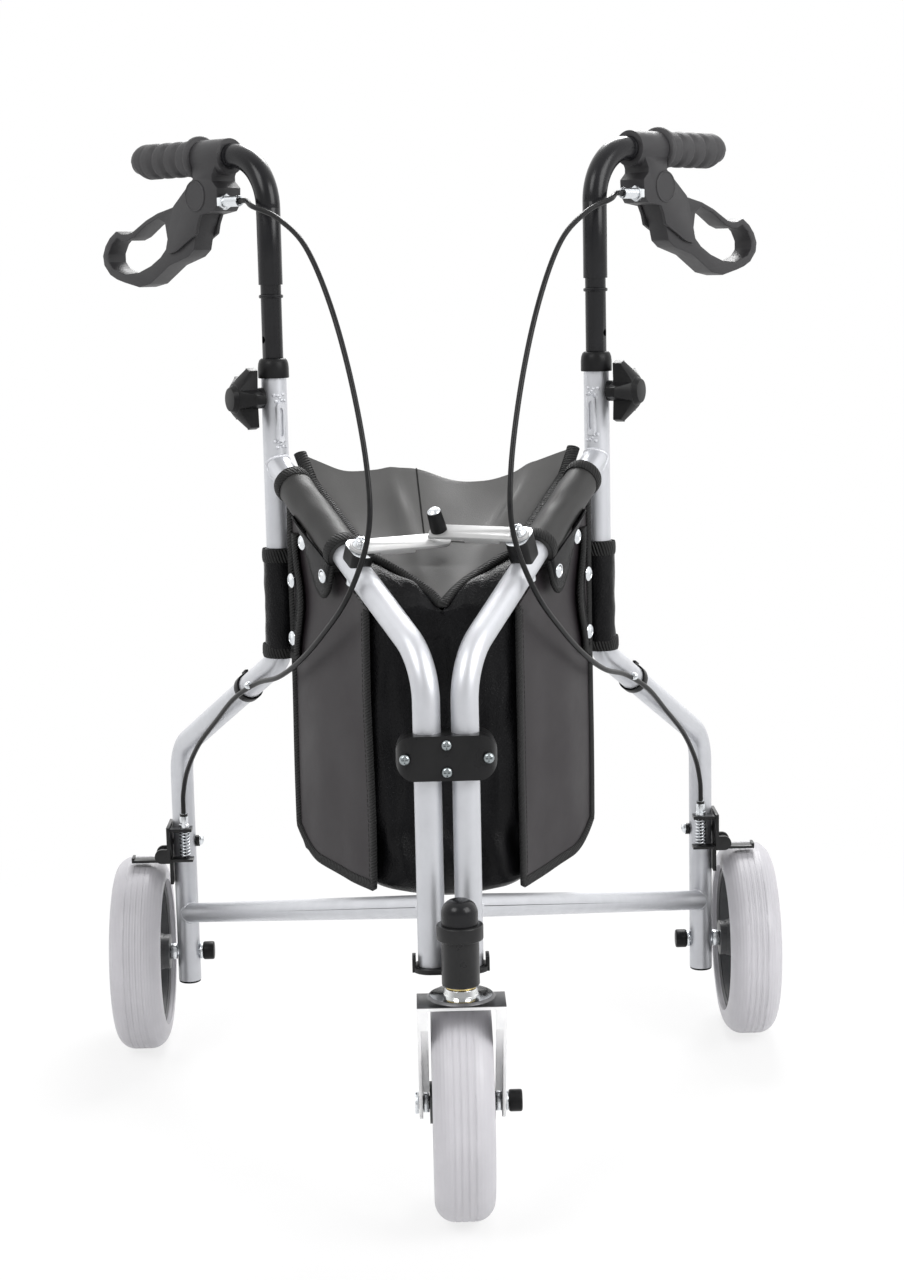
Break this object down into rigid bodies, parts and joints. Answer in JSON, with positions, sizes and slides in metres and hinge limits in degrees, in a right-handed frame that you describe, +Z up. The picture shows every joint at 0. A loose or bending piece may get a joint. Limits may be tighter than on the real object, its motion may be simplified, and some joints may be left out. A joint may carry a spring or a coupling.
{
  "type": "three wheel rollator",
  "caption": "Folding three-wheeled walker with hinged tube half frames, swivelling front wheel, height-adjustable grips, loop brake levers and a hanging bag.",
  "frame": {"origin": "on the floor, midway between the front and rear axles and between the rear wheels", "axes": "+Z up, -Y the walking direction (front wheel), +X to the right as seen from the front; left and right in names are as seen from the front"},
  "size_m": [0.6614, 0.634, 0.882],
  "materials": {
    "silver_paint": "satin",
    "zinc": "bright zinc plate",
    "black_plastic": "moulded, fine grain",
    "charcoal_plastic": "moulded, satin",
    "black_metal": "semi gloss black paint",
    "grip_rubber": "soft, matt",
    "grey_tyre": "light grey, matt",
    "hub_plastic": "moulded, satin",
    "vinyl": "soft coated cloth with a slight sheen",
    "cable_jacket": "smooth",
    "fork_steel": "bright zinc plate"
  },
  "bodies": {
    "front_column": {"hinge_block_front": "black_plastic", "hinge_block_rear": "black_plastic", "hinge_block_screws": "zinc", "foot_bracket": "black_metal", "caster_housing": "black_metal", "caster_cap": "black_plastic", "caster_bearings": "zinc", "storage_bag": "vinyl"},
    "bag_flap": {"bag_lid": "vinyl"},
    "caster": {"caster_stem": "fork_steel", "caster_fork": "fork_steel", "front_axle": "zinc", "front_axle_cap": "black_plastic"},
    "front_wheel": {"front_hub": "hub_plastic", "front_tyre": "grey_tyre"},
    "left_frame": {"left_front_tube": "silver_paint", "left_rear_tube": "silver_paint", "left_cross_tube": "silver_paint", "left_collar": "black_plastic", "left_axle": "zinc", "left_axle_cap": "black_plastic", "left_brake_bracket": "black_metal", "left_brake_spring": "zinc", "left_cable": "cable_jacket", "left_cable_clip": "black_plastic", "left_link_bolt": "zinc", "left_bag_sleeve": "vinyl"},
    "left_wheel": {"left_hub": "hub_plastic", "left_tyre": "grey_tyre"},
    "left_brake": {"left_brake_arm": "black_metal"},
    "left_handle": {"left_handle_tube": "black_metal", "left_grip": "grip_rubber", "left_lever_housing": "charcoal_plastic", "left_barrel_adjuster": "zinc"},
    "left_lever_body": {"left_lever": "charcoal_plastic"},
    "left_knob": {"left_star_knob": "black_plastic"},
    "left_link": {"left_link_bar": "fork_steel"},
    "right_frame": {"right_front_tube": "silver_paint", "right_rear_tube": "silver_paint", "right_cross_tube": "silver_paint", "right_collar": "black_plastic", "right_axle": "zinc", "right_axle_cap": "black_plastic", "right_brake_bracket": "black_metal", "right_brake_spring": "zinc", "right_cable": "cable_jacket", "right_cable_clip": "black_plastic", "right_link_bolt": "zinc", "right_bag_sleeve": "vinyl"},
    "right_wheel": {"right_hub": "hub_plastic", "right_tyre": "grey_tyre"},
    "right_brake": {"right_brake_arm": "black_metal"},
    "right_handle": {"right_handle_tube": "black_metal", "right_grip": "grip_rubber", "right_lever_housing": "charcoal_plastic", "right_barrel_adjuster": "zinc"},
    "right_lever_body": {"right_lever": "charcoal_plastic"},
    "right_knob": {"right_star_knob": "black_plastic"},
    "right_link": {"right_link_bar": "fork_steel", "link_knob": "black_plastic"}
  },
  "joints": [
    {"name": "right_fold", "type": "hinge", "parent": "front_column", "child": "right_frame", "pos_m": [0.0152, -0.225, 0.212], "axis": [0, 0, 1], "range_deg": [0, 24], "deforming": ["storage_bag", "bag_lid", "right_bag_sleeve"]},
    {"name": "right_link_turn", "type": "hinge", "parent": "right_frame", "child": "right_link", "pos_m": [0.07067, -0.12198, 0.52021], "axis": [0.2226, 0.4134, -0.8829], "range_deg": [0, 70.2]},
    {"name": "right_wheel_spin", "type": "hinge", "parent": "right_frame", "child": "right_wheel", "pos_m": [0.30089, 0.222, 0.095], "axis": [1, 0, 0], "continuous": true},
    {"name": "right_brake_turn", "type": "hinge", "parent": "right_frame", "child": "right_brake", "pos_m": [0.27588, 0.203, 0.19908], "axis": [0, 1, 0], "range_deg": [0, 6], "deforming": ["right_brake_spring"]},
    {"name": "right_height", "type": "slide", "parent": "right_frame", "child": "right_handle", "axis": [0, 0, 1], "range_m": [-0.05, 0.05], "deforming": ["right_cable"]},
    {"name": "right_lever_pull", "type": "hinge", "parent": "right_handle", "child": "right_lever_body", "pos_m": [0.19765, 0.06888, 0.83], "axis": [0.7314, -0.682, 0], "range_deg": [0, 22], "stiffness_Nm_per_rad": 0.6, "springref_deg": -14.32},
    {"name": "right_knob_turn", "type": "hinge", "parent": "right_frame", "child": "right_knob", "pos_m": [0.14036, 0.00745, 0.655], "axis": [0.8805, -0.4741, 0], "range_deg": [0, 720]},
    {"name": "left_fold", "type": "hinge", "parent": "front_column", "child": "left_frame", "pos_m": [-0.0152, -0.225, 0.212], "axis": [0, 0, -1], "range_deg": [0, 24], "deforming": ["storage_bag", "bag_lid", "left_bag_sleeve"]},
    {"name": "left_link_turn", "type": "hinge", "parent": "left_frame", "child": "left_link", "pos_m": [-0.07067, -0.12198, 0.52021], "axis": [0.2226, -0.4134, 0.8829], "range_deg": [0, 70.44]},
    {"name": "left_wheel_spin", "type": "hinge", "parent": "left_frame", "child": "left_wheel", "pos_m": [-0.30089, 0.222, 0.095], "axis": [1, 0, 0], "continuous": true},
    {"name": "left_brake_turn", "type": "hinge", "parent": "left_frame", "child": "left_brake", "pos_m": [-0.27588, 0.203, 0.19908], "axis": [0, -1, 0], "range_deg": [0, 6], "deforming": ["left_brake_spring"]},
    {"name": "left_height", "type": "slide", "parent": "left_frame", "child": "left_handle", "axis": [0, 0, 1], "range_m": [-0.05, 0.05], "deforming": ["left_cable"]},
    {"name": "left_lever_pull", "type": "hinge", "parent": "left_handle", "child": "left_lever_body", "pos_m": [-0.19765, 0.06888, 0.83], "axis": [0.7314, 0.682, 0], "range_deg": [0, 22], "stiffness_Nm_per_rad": 0.6, "springref_deg": -14.32},
    {"name": "left_knob_turn", "type": "hinge", "parent": "left_frame", "child": "left_knob", "pos_m": [-0.14036, 0.00745, 0.655], "axis": [0.8805, 0.4741, 0], "range_deg": [0, 720]},
    {"name": "caster_swivel", "type": "hinge", "parent": "front_column", "child": "caster", "pos_m": [0.007, -0.27, 0.2], "axis": [0, 0, 1], "continuous": true},
    {"name": "front_wheel_spin", "type": "hinge", "parent": "caster", "child": "front_wheel", "pos_m": [0.007, -0.222, 0.095], "axis": [1, 0, 0], "continuous": true},
    {"name": "bag_flap_lift", "type": "hinge", "parent": "front_column", "child": "bag_flap", "pos_m": [0, -0.07278, 0.53357], "axis": [1, 0, 0], "range_deg": [0, 60]}
  ],
  "couplings": [
    {"joint": "left_fold", "follows": "right_fold", "ratio": 1},
    {"joint": "right_link_turn", "follows": "right_fold", "ratio": 2.925},
    {"joint": "left_link_turn", "follows": "right_fold", "ratio": 2.935},
    {"joint": "right_brake_turn", "follows": "right_lever_pull", "ratio": 0.27273},
    {"joint": "left_brake_turn", "follows": "left_lever_pull", "ratio": 0.27273}
  ]
}
